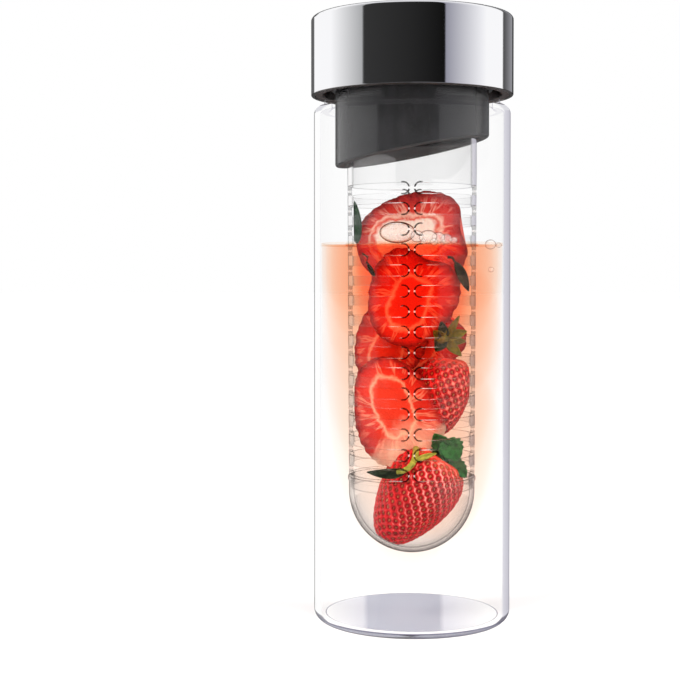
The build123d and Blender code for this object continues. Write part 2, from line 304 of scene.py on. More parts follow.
def clear_plastic_material(name, outer_limit, edge_gloss, inner_tint, round_centre=None, slotted=False):
    """Clear moulded plastic: white or grey towards its outer edges and dark where its inside turns away.

    Its outside is what lies farther out than the limit, from the axis or, below it, from the round centre.
    """
    material, tree = new_tree(name)
    across, up, parts = across_and_up(tree)
    facing, front, surface = turned_away(tree, 0.03 * mm)
    if round_centre is not None:
        below = math_node("MINIMUM", minus(up, round_centre), 0.0)
        across = math_node("SQRT", plus(times(across, across), times(below, below)))
    outside = more_than(across, outer_limit)
    plain = ramp(facing, [(0.0, 0.008), (0.8, 0.03), (1.0, 0.30)])
    far_wall = times(front, minus(1.0, outside))
    above_rows = more_than(up, last_row + slot_pitch / 2)
    plain = mix_colour(times(far_wall, above_rows), plain, 0.11)
    if round_centre is not None:
        round_top = round_centre - 3.0
        round_part = times(far_wall, less_than(up, round_top))
        round_gloss = ramp(facing, [(0.0, 0.02), (0.4, 0.10), (0.8, 0.30)])
        plain = mix_colour(round_part, plain, round_gloss)
    gloss = mix_colour(times(outside, front), plain, ramp(facing, edge_gloss))
    outer_tint = ramp(facing, [(0.0, 1.0), (1.0, 0.9)])
    tint = mix_colour(outside, ramp(facing, inner_tint), outer_tint)
    if slotted:
        dark_on_cut, cut_tint, slot_shade_tint, socket_shade_tint = 0.18, 0.86, (0.05, 0.04, 0.04), 0.12
        # Painted shade at the slots' round ends and painted highlights along their long edges
        dark, light = slot_marks(tree, parts)
        seen_flat = ramp(facing, [(0.4, 0.82), (0.70, 0.15)])
        cut = cut_faces(tree, across, parts)
        dark = times(dark, seen_flat, mix_colour(cut, 1.0, dark_on_cut))
        tint = mix_colour(cut, tint, cut_tint)
        tint = mix_colour(dark, tint, slot_shade_tint)
        # Painted shadow of the stopper, where the tube goes into its socket
        socket = ramp_over(up, 200, [(socket_shade_start, 0.0), (socket_shade_full, 1.0)])
        tint = mix_colour(socket, tint, socket_shade_tint)
        gloss = mix_colour(math_node("MAXIMUM", dark, socket), gloss, 0.05)
    # Painted shade: what the plastic mirrors is darkened towards the bottom
    shine_shaded_low = ramp_over(up, 200, [
        (40.4, (0.14, 0.135, 0.14)), (45.0, (0.60, 0.585, 0.57)), (110.0, (0.78, 0.76, 0.75)),
        (150.0, (0.98, 0.97, 0.97)),
    ])
    shader = clear_shader(tree, tint, gloss, shine_shaded_low, surface)
    if slotted:
        # Painted highlights: a white diffuse shader mixed in where the slots' edges would glint
        lit = node(tree, "BsdfDiffuse", {"Color": rgba(0.95), "Normal": surface}).outputs[0]
        shader = mix_shader(times(light, seen_flat, 0.85), shader, lit)
    return finished(material, shader)


def chrome_material():
    """Mirror-polished chrome with the faintest polishing marks round the cap, and painted shade at its rolled
    foot.
    """
    material, tree = new_tree("chrome")
    marks = noise(tree, 1.0, 4.0, 0.6, stretch=(0.2, 0.2, 9.0))
    haze = noise(tree, 0.12, 3.0)
    _, up, _ = across_and_up(tree)
    # Painted shade: the rolled foot's colour is darkened
    foot = less_than(up, cap_foot)
    return principled(material, {
        "Base Color": mix_colour(foot, (0.93, 0.93, 0.95), (0.16, 0.14, 0.13)),
        "Metallic": 1.0,
        "Roughness": ramp(haze, [(0.35, 0.02), (0.75, 0.06)]),
        "Normal": bump(marks, 0.002 * mm),
    })


def moulded_material(name, dark, light, roughness, streak_scale, grain_height, bore=None):
    """Moulded plastic whose colour drifts a little along fine streaks.

    With a bore, given as (radius, top), it is painted paler as painted light, and dull, in there and on the
    faces that look down.
    """
    material, tree = new_tree(name)
    colour = ramp(noise(tree, 1.0, 5.0, 0.65, stretch=streak_scale), [(0.35, dark), (0.7, light)])
    grain = noise(tree, 6.0, 2.0)
    rough = ramp(grain, [(0.3, roughness), (0.7, roughness + 0.06)])
    if bore is not None:
        across, up, _ = across_and_up(tree)
        inside = times(less_than(across, bore[0]), less_than(up, bore[1]))
        painted_light_underside = less_than(xyz(object_normal(tree))[2], -0.5)
        # Painted light: the bore's inside and the faces that look down are painted paler
        colour = mix_colour(painted_light_underside, mix_colour(inside, colour, 0.14), 0.045)
        rough = mix_colour(math_node("MAXIMUM", inside, painted_light_underside), rough, 0.75)
    normal = bump(grain, grain_height)
    return principled(material, {"Base Color": colour, "Roughness": rough, "Normal": normal})


def silicone_material():
    material, tree = new_tree("silicone")
    cloud = noise(tree, 0.5, 3.0)
    return principled(material, {
        "Base Color": ramp(cloud, [(0.3, (0.030, 0.028, 0.028)), (0.7, (0.045, 0.042, 0.042))]),
        "Roughness": 0.45,
        "Subsurface Weight": 0.25,
        "Subsurface Radius": (1.2 * mm, 1.1 * mm, 1.0 * mm),
        "Normal": bump(noise(tree, 4.0), 0.01 * mm),
    })


def steel_material():
    material, tree = new_tree("brushed_steel")
    brush = noise(tree, 1.0, 4.0, 0.7, stretch=(0.15, 8.0, 8.0))
    return principled(material, {
        "Base Color": ramp(brush, [(0.3, 0.5), (0.7, 0.66)]),
        "Metallic": 1.0,
        "Roughness": ramp(brush, [(0.3, 0.24), (0.7, 0.36)]),
        "Normal": bump(brush, 0.006 * mm),
    })


# In millimetres: how far out the clear pieces' outsides begin, and the stopper's bore as (radius, top),
# painted paler as painted light
tube_outside = 22.0
bowl_outside = 21.8
stopper_bore = (23.9, 174.0)

glass = glass_material()
tube_plastic = clear_plastic_material(
    "clear_tube", tube_outside, [(0.0, 0.010), (0.45, 0.02), (0.58, 0.06), (0.65, 0.80), (1.0, 0.92)],
    [(0.0, 1.0), (0.72, 0.98), (0.86, 0.60)], slotted=True
)
bowl_plastic = clear_plastic_material(
    "clear_bowl", bowl_outside,
    [(0.0, 0.012), (0.45, 0.03), (0.56, 0.14), (0.68, 0.52), (0.84, 0.86), (1.0, 0.95)],
    [(0.0, 1.0), (0.80, 0.98), (0.93, 0.62)], round_centre=bowl_centre
)
chrome = chrome_material()
black_plastic = moulded_material(
    "black_plastic", (0.024, 0.0235, 0.0245), (0.032, 0.031, 0.033), 0.22, (0.3, 0.3, 0.1), 0.006 * mm,
    stopper_bore
)
dark_plastic = moulded_material(
    "dark_plastic", (0.040, 0.025, 0.020), (0.090, 0.060, 0.052), 0.4, (1.4, 1.4, 1.4), 0.01 * mm
)
silicone = silicone_material()
brushed_steel = steel_material()

finishes = {
    "glass_bottle": glass, "cap_shell": chrome, "cap_liner": dark_plastic, "cap_gasket": silicone,
    "stopper": black_plastic, "rim_gasket": silicone, "neck_seal_upper": silicone,
    "neck_seal_lower": silicone, "strainer": brushed_steel, "infuser_seal": silicone,
    "infuser_tube": tube_plastic, "infuser_bowl": bowl_plastic,
}
for name, finish in finishes.items():
    for material_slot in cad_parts[name].material_slots:
        material_slot.material = finish


# The camera, at the photograph's viewing angle
camera_distance = 524.2 * mm
camera_height = 122.0 * mm
camera_turn = 2.812
camera_dip = 1.363
camera_lens = 76.26
camera_sensor = 36.0
camera_shift = -0.045
camera = bpy.data.objects.new("camera", bpy.data.cameras.new("camera"))
scene.collection.objects.link(camera)
camera.location = (0.0, -camera_distance, camera_height)
camera.rotation_euler = (math.radians(90 - camera_dip), 0.0, math.radians(camera_turn))
camera.data.lens = camera_lens
camera.data.sensor_width = camera_sensor
camera.data.shift_y = camera_shift
scene.camera = camera


# The studio: a white room, with soft boxes and black flags that only mirrors see
def studio_world():
    world = bpy.data.worlds.new("studio")
    world.use_nodes = True
    world.cycles.sampling_method = "NONE"
    tree = world.node_tree
    tree.nodes.clear()
    x, y, z = xyz(node(tree, "TexCoord").outputs["Generated"])
    azimuth = math_node("ARCTAN2", x, times(y, -1.0))
    share = math_node("MULTIPLY_ADD", azimuth, 0.5 / math.pi, 0.5)

    def room(stops):
        """The room all round, from (degrees, colour) stops, 0 in front and 90 on the right."""
        return ramp(share, [(degrees / 360 + 0.5, colour) for degrees, colour in stops])

    mirrored = room([
        (-180, 0.10), (-148, 0.13), (-147, 1.0), (-104, 1.0), (-57, (0.42, 0.425, 0.43)), (-56, 0.036),
        (0, 0.020), (37, 0.006), (38, (0.30, 0.30, 0.36)), (84, (0.90, 0.90, 0.92)), (92, 1.0), (123, 1.0),
        (124, 0.07), (155, (0.32, 0.32, 0.34)), (158, 0.02), (172, 0.10),
    ])
    above = math_node("MULTIPLY_ADD", z, 0.5, 0.5)
    mirrored = mix_colour(ramp(above, [(0.86, 0.0), (0.97, 1.0)]), mirrored, (0.82, 0.82, 0.84))
    mirrored = mix_colour(ramp(above, [(0.22, 0.75), (0.42, 0.0)]), mirrored, (0.34, 0.34, 0.36))

    in_glass = room([
        (-180, 0.27), (-163, 0.30), (-160, 1.0), (-42, 1.0), (-40, 0.05), (31, 0.03), (33, 1.0), (124, 1.0),
        (138, (0.63, 0.62, 0.69)), (162, (0.50, 0.49, 0.56)), (165, (0.28, 0.27, 0.32)),
        (179, (0.34, 0.33, 0.38)),
    ])
    turned = times(math_node("ABSOLUTE", azimuth), 180 / math.pi)
    from_back = minus(180.0, turned)
    to_the_side = times(from_back, math_node("SIGN", x))
    disc_share = math_node("MULTIPLY_ADD", to_the_side, 0.1, 0.5)
    in_disc = ramp(disc_share, [
        (0.17, 1.0), (0.31, (0.60, 0.61, 0.72)), (0.33, (0.15, 0.18, 0.33)),
        (0.61, (0.13, 0.15, 0.29)), (0.63, (0.55, 0.56, 0.68)), (0.80, 1.0),
    ])
    rising = ramp(above, [(0.575, 0.0), (0.59, 1.0)])
    in_glass = mix_colour(rising, in_glass, (0.70, 0.70, 0.74))
    in_glass = mix_colour(times(rising, less_than(from_back, 12.0)), in_glass, in_disc)

    path = node(tree, "LightPath")
    unscattered = less_than(path.outputs["Diffuse Depth"], 0.5)
    seen_in_mirror = times(more_than(path.outputs["Glossy Depth"], 0.5), unscattered)
    mirrored = mix_colour(path.outputs["Is Singular Ray"], mirrored, in_glass)
    background = node(tree, "Background", {
        "Color": mix_colour(seen_in_mirror, 1.0, mirrored),
        "Strength": math_node("MULTIPLY_ADD", minus(1.0, unscattered), 0.2, 1.0),
    })
    tree.links.new(background.outputs[0], node(tree, "OutputWorld").inputs["Surface"])
    scene.world = world


def soft_box(name, place, width, height, power):
    """A soft rectangular lamp that faces the middle of the bottle."""
    lamp = bpy.data.lights.new(name, "AREA")
    lamp.shape = "RECTANGLE"
    lamp.size = width
    lamp.size_y = height
    lamp.energy = power
    holder = bpy.data.objects.new(name, lamp)
    scene.collection.objects.link(holder)
    holder.location = place
    aim = Vector((0.0, 0.0, 100 * mm)) - holder.location
    holder.rotation_euler = aim.to_track_quat("-Z", "Y").to_euler()
    holder.visible_glossy = False
    holder.visible_transmission = False


def pale_floor():
    """A wide matt floor, a little darker near the bottle."""
    material, tree = new_tree("floor")
    across, _, _ = across_and_up(tree)
    grain = ramp(noise(tree, 0.01, 2.0), [(0.3, 0.985), (0.7, 1.0)])
    outward = ramp_over(across, 10000, [
        (320, 0.68), (640, 0.72), (1080, 0.775), (1800, 0.83), (2800, 0.86), (5000, 0.87), (10000, 0.86),
    ])
    principled(material, {
        "Base Color": mix_colour(grain, 0.66, outward),
        "Roughness": 0.8,
        "Specular IOR Level": 0.0,
    })
    reach = 12.0
    level = -0.1 * mm
    corners = [(-reach, -reach, level), (reach, -reach, level), (reach, reach, level), (-reach, reach, level)]
    mesh = bpy.data.meshes.new("floor")
    mesh.from_pydata(corners, [], [(0, 1, 2, 3)])
    mesh.materials.append(material)
    floor = bpy.data.objects.new("floor", mesh)
    scene.collection.objects.link(floor)
    floor.visible_glossy = False


studio_world()
pale_floor()
soft_box("left_box", (-0.55, -0.45, 0.95), 0.3, 0.4, 7.0)
soft_box("right_box", (0.65, -0.25, 0.90), 0.25, 0.4, 6.0)


# Meshes made by code
def add_piece(name, mesh, body, material):
    """A piece of the object that rides on a body."""
    mesh.materials.append(material)
    piece = bpy.data.objects.new(name, mesh)
    scene.collection.objects.link(piece)
    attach(piece, body)
    return piece


def smoothed(mesh, toward=None):
    """The mesh with points that meet made one, smooth faces, and its faces turned outward.

    An open sheet whose right side cannot be told is turned toward the given direction.
    """
    work = bmesh.new()
    work.from_mesh(mesh)
    bmesh.ops.remove_doubles(work, verts=work.verts, dist=0.001 * mm)
    if toward is None:
        bmesh.ops.recalc_face_normals(work, faces=work.faces)
    else:
        work.normal_update()
        facing = sum((face.normal * face.calc_area() for face in work.faces), Vector())
        if facing.dot(toward) < 0:
            bmesh.ops.reverse_faces(work, faces=work.faces)
    for face in work.faces:
        face.smooth = True
    work.to_mesh(mesh)
    work.free()
    return mesh


def grid_mesh(name, rows, closed_rows=False, toward=None, **point_values):
    """A smooth mesh over rows of points, with named values on them."""
    rows = np.asarray(rows, float)
    count, width = rows.shape[:2]
    faces = []
    for row in range(count - 1):
        for column in range(width if closed_rows else width - 1):
            after = (column + 1) % width
            low, high = row * width, (row + 1) * width
            faces.append((low + column, low + after, high + after, high + column))
    mesh = bpy.data.meshes.new(name)
    mesh.from_pydata(rows.reshape(-1, 3).tolist(), [], faces)
    for key, values in point_values.items():
        vector = values.ndim == 3
        layer = mesh.attributes.new(key, "FLOAT_VECTOR" if vector else "FLOAT", "POINT")
        layer.data.foreach_set("vector" if vector else "value", values.ravel())
    return smoothed(mesh, toward)


def lathe_mesh(name, profile):
    """The surface that a profile of (radius, height) points sweeps round the bottle's axis."""
    sides = 128
    turns = np.linspace(0, 2 * math.pi, sides, endpoint=False)
    rows = [
        [(radius * math.cos(t), radius * math.sin(t), height) for t in turns]
        for radius, height in profile
    ]
    return grid_mesh(name, rows, True)


def unshadowed(piece):
    """The piece, which from now on casts no shadow."""
    piece.visible_shadow = False
    return piece


# The drink, in bodies of colour that lie inside each other
surface_level = 134.0 * mm
drink_floor = 2.7 * mm
drink_radius = glass_radius - 2.3 * mm
drink_corner = 2.4 * mm


def tinted_material(name, kept, depth):
    """A body of liquid that lets this share of each colour through over the given depth."""
    material, tree = new_tree(name)
    losses = [-math.log(share) / depth for share in kept]
    density = max(losses)
    absorb = node(tree, "VolumeAbsorption", {
        "Color": (*[1 - loss / density for loss in losses], 1.0),
        "Density": density,
    })
    return finished(material, absorb.outputs[0], "Volume")


def swept_profile(radius, top, bottom, bend):
    """Points from top to bottom, their radius squared given by a bend of the share of the way."""
    steps = 28
    shares = [step / steps for step in range(steps + 1)]
    return [(radius * bend(share) ** 0.5, top + (bottom - top) * share) for share in shares]


def plume_profile(radius, top, bottom, fullness):
    """A body that hangs under the surface and narrows smoothly to its lowest point."""
    return [(0.0, top)] + swept_profile(radius, top, bottom, lambda share: 1 - share ** fullness)


def drift_profile(radius, top, bottom, fullness):
    """A closed body that hangs free in the drink."""
    return swept_profile(radius, top, bottom, lambda share: 1 - abs(2 * share - 1) ** fullness)


def liquid(name, profile, material):
    """A piece of the drink, which stays in the bottle and casts no shadow."""
    return unshadowed(add_piece(name, lathe_mesh(name, profile), "bottle", material))


liquid("drink", [
    (0.0, drink_floor), (drink_radius - drink_corner, drink_floor),
    (drink_radius, drink_floor + drink_corner), (drink_radius, surface_level), (0.0, surface_level),
], tinted_material("drink_water", (0.999, 0.985, 0.975), 65 * mm))

# The bodies of colour start a little below the surface of the drink itself
peach_start = surface_level - 0.05 * mm
red_start = surface_level - 0.1 * mm

peach_bottoms = [106, 102, 96, 90, 82, 68, 44, 28, 18, 12]
peach_insets = [0.0, 1.6, 0.0, 3.4]
for index, bottom in enumerate(peach_bottoms):
    inset = 0.1 + 0.04 * index + peach_insets[index % len(peach_insets)]
    liquid(
        f"drink_peach_{index + 1}",
        plume_profile(drink_radius - inset * mm, peach_start, bottom * mm, 4.0),
        tinted_material("drink_peach", (0.9995, 0.885, 0.815), 60 * mm),
    )

drift_radius = 22.8 * mm
drift_shift = 9.0 * mm
for index, (top, bottom) in enumerate([(131, 78), (96, 28)]):
    drift = liquid(
        f"drink_drift_{index + 1}",
        drift_profile(drift_radius, top * mm, bottom * mm, 2.6),
        tinted_material("drink_drift", (0.9995, 0.79, 0.69), 60 * mm),
    )
    drift.data.transform(Matrix.Translation((drift_shift, 0.0, 0.0)))

red_layers = 3
red_radius = tube_radius - 2.0 * mm
for index in range(red_layers):
    share = index / (red_layers - 1)
    inset = (0.2 + 1.2 * share) * mm
    reach = (56 - 22 * share) * mm
    liquid(
        f"drink_red_{index + 1}",
        plume_profile(red_radius - inset, red_start, surface_level - reach, 2.6),
        tinted_material("drink_red", (0.999, 0.60, 0.48), 40 * mm),
    )


def film_material(name, seen_through, gloss):
    """A skin of liquid: its colour where light goes through, and a soft shine."""
    material, tree = new_tree(name)
    ripple = noise(tree, 0.3, 2.0)
    film = node(tree, "BsdfTransparent", {"Color": rgba(seen_through)})
    shine = node(tree, "BsdfGlossy", {
        "Color": (1.0, 0.93, 0.88, 1.0),
        "Roughness": ramp(ripple, [(0.3, 0.02), (0.7, 0.10)]),
    })
    return finished(material, mix_shader(gloss, film.outputs[0], shine.outputs[0]))


def liquid_line(name, radius, thickness, material):
    """The thin rounded ring where the drink creeps up a wall."""
    turns = np.linspace(0, 2 * math.pi, 13)
    profile = [(radius + thickness * math.cos(t), surface_level + thickness * math.sin(t)) for t in turns]
    liquid(name, profile, material)


pale_line = film_material("pale_line", (0.995, 0.955, 0.925), 0.03)
deep_line = film_material("deep_line", (0.98, 0.82, 0.70), 0.03)
liquid_line("surface_line_at_glass", drink_radius - 0.30 * mm, 0.14 * mm, pale_line)
liquid_line("surface_line_at_infuser", tube_radius + 0.6 * mm, 0.22 * mm, deep_line)

# The skin of the surface creeps up at both walls: (wall, distance from it, rise above the surface)
surface_start = (tube_radius, 0.5, 0.05)
liquid("drink_surface", [(wall + away * mm, surface_level + rise * mm) for wall, away, rise in [
    surface_start, (drink_radius, -0.3, 0.05), (drink_radius, -0.3, 0.9), (drink_radius, -0.6, 0.4),
    (drink_radius, -1.4, 0.15), (tube_radius, 1.4, 0.15), (tube_radius, 0.7, 0.5), (tube_radius, 0.5, 0.9),
    surface_start,
]], film_material("surface_skin", (1.0, 0.955, 0.92), 0.02))

# The clear walls cast no shadow either
for clear_name in ("glass_bottle", "infuser_tube", "infuser_bowl"):
    unshadowed(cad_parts[clear_name])


# Materials of the fruit
def point_value(tree, name):
    return node(tree, "Attribute", attribute_name=name)


def painted_ridge_highlights(tree, dimple, cloud):
    """Painted highlights on the net of ridges between the dimples, along the side that faces forward and to
    the right.
    """
    lit_side = (0.40, -0.91, 0.10)
    toward = node(tree, "VectorMath", {0: object_normal(tree), 1: lit_side}, operation="DOT_PRODUCT")
    band = ramp(toward.outputs["Value"], [(0.70, 0.0), (0.90, 1.0)])
    ridge = ramp(dimple, [(0.16, 1.0), (0.36, 0.0)])
    patchy = ramp(cloud, [(0.38, 0.45), (0.58, 0.90)])
    return times(band, ridge, patchy)


def skin_material():
    """Shiny red skin, with painted shade inside the dimples, painted highlights on its ridges, and paler
    towards the leaves.
    """
    material, tree = new_tree("berry_skin")
    dimple = point_value(tree, "dimple").outputs["Fac"]
    tall = point_value(tree, "tall").outputs["Fac"]
    cloud = noise(tree, 0.25, 3.0)
    red = ramp(cloud, [(0.3, (0.52, 0.012, 0.018)), (0.7, (0.78, 0.022, 0.028))])
    # Painted shade: the dimples are darkened
    sunk = ramp(dimple, [(0.2, 0.0), (0.8, 0.9)])
    red = mix_colour(sunk, red, (0.19, 0.005, 0.009))
    # Painted highlights: pale pink on the ridges
    red = mix_colour(painted_ridge_highlights(tree, dimple, cloud), red, (0.95, 0.44, 0.41))
    pale = ramp(tall, [(0.86, 0.0), (1.0, 0.55)])
    return principled(material, {
        "Base Color": mix_colour(pale, red, (0.75, 0.16, 0.07)),
        "Roughness": 0.26,
        "Specular IOR Level": 0.22,
        "Coat Weight": 0.18,
        "Coat Roughness": 0.16,
        "Subsurface Weight": 0.12,
        "Subsurface Radius": (2.0 * mm, 0.5 * mm, 0.4 * mm),
        "Normal": bump(noise(tree, 1.6, 3.0), 0.10 * mm),
    })


def flesh_material(name, heart, core=(0.74, 0.048, 0.022), core_reach=0.30):
    """Cut flesh: red towards the skin, a pale ring round the core, and veins that run outward.

    The heart is how far the white part reaches from the leaves, as a share of the length.
    The ring is long: it lies near the middle at the sides and far out towards the tip.
    """
    material, tree = new_tree(name)
    sideways, upward, out = xyz(point_value(tree, "ray").outputs["Vector"])
    tall = point_value(tree, "tall").outputs["Fac"]
    parts = {"X": times(sideways, 4.5), "Y": times(upward, 4.5), "Z": times(out, 1.3)}
    spread = node(tree, "CombineXYZ", parts).outputs[0]
    veins = ramp(noise(tree, 1.5, 2.0, vector=spread), [(0.53, 0.0), (0.62, 1.0), (0.70, 0.2)])
    fine = noise(tree, 1.1, 4.0)
    drift = math_node("MULTIPLY_ADD", noise(tree, 0.22, 2.0), 0.26, -0.13)
    to_tip = minus(0.5, times(upward, 0.5))
    long = minus(times(sideways, sideways, 0.10), times(to_tip, to_tip, 0.24))
    between = ramp(out, [(0.15, 0.0), (0.45, 1.0), (0.75, 1.0), (0.95, 0.0)])
    place = plus(plus(out, drift), times(between, long))
    red = ramp(place, [
        (0.0, core), (core_reach, core), (core_reach + 0.06, (0.76, 0.075, 0.040)),
        (core_reach + 0.13, (0.97, 0.56, 0.43)), (core_reach + 0.21, (0.70, 0.040, 0.022)),
        (0.80, (0.58, 0.014, 0.011)), (0.92, (0.36, 0.007, 0.010)), (1.0, (0.18, 0.003, 0.006)),
    ])
    reach = ramp(place, [(0.25, 0.0), (0.42, 0.2), (0.50, 0.9), (0.74, 0.75), (0.94, 0.0)])
    colour = mix_colour(times(veins, reach), red, (0.94, 0.43, 0.32))
    colour = mix_colour(ramp(fine, [(0.4, 0.0), (0.7, 0.22)]), colour, (0.80, 0.10, 0.05))
    near = minus(plus(tall, times(drift, 0.6)), times(out, 0.22))
    white = ramp(near, [(0.86 - heart, 0.0), (0.92 - heart * 0.45, 0.95)])
    colour = mix_colour(white, colour, (0.95, 0.86, 0.72))
    return principled(material, {
        "Base Color": colour,
        "Roughness": 0.30,
        "Specular IOR Level": 0.28,
        "Subsurface Weight": 0.15,
        "Subsurface Radius": (2.5 * mm, 1.0 * mm, 0.7 * mm),
        "Normal": bump(plus(fine, times(veins, reach, 0.8)), 0.22 * mm),
    })


def leaf_material(name, dark, light):
    material, tree = new_tree(name)
    streak = noise(tree, 0.7, 5.0, 0.6)
    return principled(material, {
        "Base Color": ramp(streak, [(0.35, dark), (0.68, light)]),
        "Roughness": 0.42,
        "Normal": bump(noise(tree, 1.4, 3.0), 0.25 * mm),
    })


def seed_material():
    material, tree = new_tree("berry_seed")
    shade = noise(tree, 0.8, 2.0)
    return principled(material, {
        "Base Color": ramp(shade, [(0.38, (0.24, 0.028, 0.014)), (0.72, (0.58, 0.22, 0.07))]),
        "Roughness": 0.3,
    })


berry_skin = skin_material()
berry_flesh = flesh_material("berry_flesh", 0.10)
white_flesh = flesh_material("berry_flesh_with_white_heart", 0.32)
pale_flesh = flesh_material("berry_flesh_with_pale_core", 0.06, (0.94, 0.80, 0.68), 0.42)

berry_seed = seed_material()
fresh_leaf = leaf_material("fresh_leaf", (0.006, 0.075, 0.018), (0.035, 0.25, 0.055))
dark_leaf = leaf_material("dark_leaf", (0.006, 0.022, 0.010), (0.016, 0.055, 0.018))
olive_leaf = leaf_material("olive_leaf", (0.060, 0.110, 0.012), (0.24, 0.26, 0.026))
stem_green = leaf_material("stem", (0.20, 0.27, 0.03), (0.46, 0.48, 0.08))


# The fruit in the infuser. Each berry is made upright, leaves up, and then set in its place.
# The outline: how blunt the ends are, the dent under the leaves with its reach, and the skin's steps
bluntness = 0.72
top_dent = 0.07
top_dent_reach = 0.38
fine_turns = np.linspace(0.0, math.pi, 400)
skin_step_along = 0.42 * mm
skin_step_round = 0.45 * mm

# The seeds in their dimples, from the first turn to the last
seed_spacing = 2.75 * mm
seed_area = 0.866 * seed_spacing ** 2
first_seed = 0.42
last_seed = 3.02
seed_sink = 0.86
dimple_depth = 0.66 * mm
dimple_reach = 1.15 * mm

# The cut face: how high its core lies, and how it swells and sinks in
core_height = 0.04
flesh_rings = 36
flesh_crowding = 0.9
flesh_swell = 0.25 * mm
flesh_dent = 0.45 * mm

# Leaves and stems
leaf_thickness = 0.35 * mm
leaf_curl = 0.5
ring_curl = 0.45
stem_foot = 1.1
stem_taper = 0.35

# The inside of the tube and of the bowl, which the fruit does not leave
wall_limit = tube_radius - 2.3 * mm
bowl_middle = Vector((0.0, 0.0, bowl_centre * mm))
bowl_limit = 20.5 * mm


def kept_inside(points):
    """The points, pressed in where they would go through the wall of the infuser or of its bowl."""
    points = np.array(points, float)
    across = np.linalg.norm(points[..., :2], axis=-1)
    points[..., :2] *= np.minimum(1.0, wall_limit / np.maximum(across, mm))[..., None]
    arm = points - np.array(bowl_middle)
    reach = np.linalg.norm(arm, axis=-1)
    low = (points[..., 2] < bowl_middle.z) & (reach > bowl_limit)
    points[low] = np.array(bowl_middle) + arm[low] * (bowl_limit / reach[low])[..., None]
    return points


def placed(points, place):
    """Points of an upright berry, moved to its place in the infuser."""
    turn = np.array(place.to_3x3())
    return kept_inside(np.asarray(points) @ turn.T + np.array(place.translation))


def berry_width(turn, taper):
    """How wide a berry is at a turn, before it is brought to its radius."""
    return np.sin(turn) ** bluntness * (1 - taper * (1 - np.cos(turn)) / 2)


def berry_points(turn, angle, length, radius, taper, lobe, flat):
    """Points on the plain skin. The turn goes from the leaves (0) to the tip (pi)."""
    turn = np.clip(turn, 0.0, math.pi)
    fullest = berry_width(fine_turns, taper).max()
    wide = berry_width(turn, taper) / fullest
    swell = 1 + 0.030 * np.sin(3 * angle + lobe) + 0.025 * np.sin(2 * angle + 2.3 * lobe)
    out = radius * wide * swell
    dent = top_dent * length * np.exp(-(wide / top_dent_reach) ** 2) * (turn < math.pi / 2)
    up = length / 2 * np.cos(turn) - dent
    return np.stack([out * np.cos(angle), out * np.sin(angle) * flat, up], axis=-1)


def outward(points, length, radius, flat):
    """Directions that point straight out of the skin."""
    arms = points / np.array([radius, radius * flat, length / 2]) ** 2
    return arms / np.maximum(np.linalg.norm(arms, axis=-1, keepdims=True), 1e-9)


def seed_places(length, radius, taper, lobe, flat, half):
    """Seeds in a spiral that spreads them evenly over the skin."""
    ring = berry_points(fine_turns, np.zeros_like(fine_turns), length, radius, taper, 0.0, 1.0)
    steps = np.linalg.norm(np.diff(ring, axis=0), axis=1)
    areas = 2 * math.pi * (ring[1:, 0] + ring[:-1, 0]) / 2 * steps
    sums = np.concatenate([[0.0], np.cumsum(areas)])
    count = int(sums[-1] / seed_area)
    index = np.arange(count)
    turn = np.interp((index + 0.5) / count * sums[-1], sums, fine_turns)
    angle = (index * math.pi * (3 - math.sqrt(5))) % (2 * math.pi)
    keep = (turn > first_seed) & (turn < last_seed)
    if half:
        keep &= angle < math.pi
    return berry_points(turn[keep], angle[keep], length, radius, taper, lobe, flat)


def dimpled(points, seeds, length, radius, flat):
    """The skin with a dimple at each seed, and how deep each point lies in one (0 to 1)."""
    depth = np.zeros(points.shape[:-1])
    for row in range(len(points)):
        gaps = np.linalg.norm(points[row][:, None, :] - seeds[None, :, :], axis=-1)
        depth[row] = np.exp(-(gaps.min(axis=1) / dimple_reach) ** 2.6)
    sunk = points - outward(points, length, radius, flat) * depth[..., None] * dimple_depth
    return sunk, depth


def seeds_mesh(name, seeds, length, radius, flat, place):
    """One small drop-shaped seed in each dimple."""
    sides, rings = 8, 5
    half_width, half_thickness, half_length = 0.36 * mm, 0.20 * mm, 0.62 * mm
    drop_taper = 0.35
    turns = np.linspace(0, math.pi, rings + 1)
    turn, angle = np.meshgrid(turns, np.arange(sides) * 2 * math.pi / sides, indexing="ij")
    drop = np.stack([
        half_width * np.sin(turn) * np.cos(angle) * (1 + drop_taper * np.cos(turn)),
        half_thickness * np.sin(turn) * np.sin(angle),
        half_length * np.cos(turn),
    ], axis=-1).reshape(-1, 3)
    out = outward(seeds, length, radius, flat)
    along = np.array([0.0, 0.0, 1.0]) - out * out[:, 2:3]
    along /= np.linalg.norm(along, axis=-1, keepdims=True)
    axes = np.stack([np.cross(along, out), out, along], axis=1)
    points, faces = [], []
    for number, centre in enumerate(seeds - out * dimple_depth * seed_sink):
        points.append(centre + drop @ axes[number])
        for ring in range(rings):
            low = number * len(drop) + ring * sides
            for column in range(sides):
                after = (column + 1) % sides
                faces.append((low + column, low + after, low + sides + after, low + sides + column))
    mesh = bpy.data.meshes.new(name)
    mesh.from_pydata(placed(np.concatenate(points), place).tolist(), [], faces)
    return smoothed(mesh)


def turned_place(middle, tilt, lean=0.0):
    """A place in the infuser, tilted clockwise in the front view and leaned back, both in degrees."""
    turn = Euler((math.radians(lean), math.radians(tilt), 0.0)).to_matrix().to_4x4()
    return Matrix.Translation(Vector(middle) * mm) @ turn


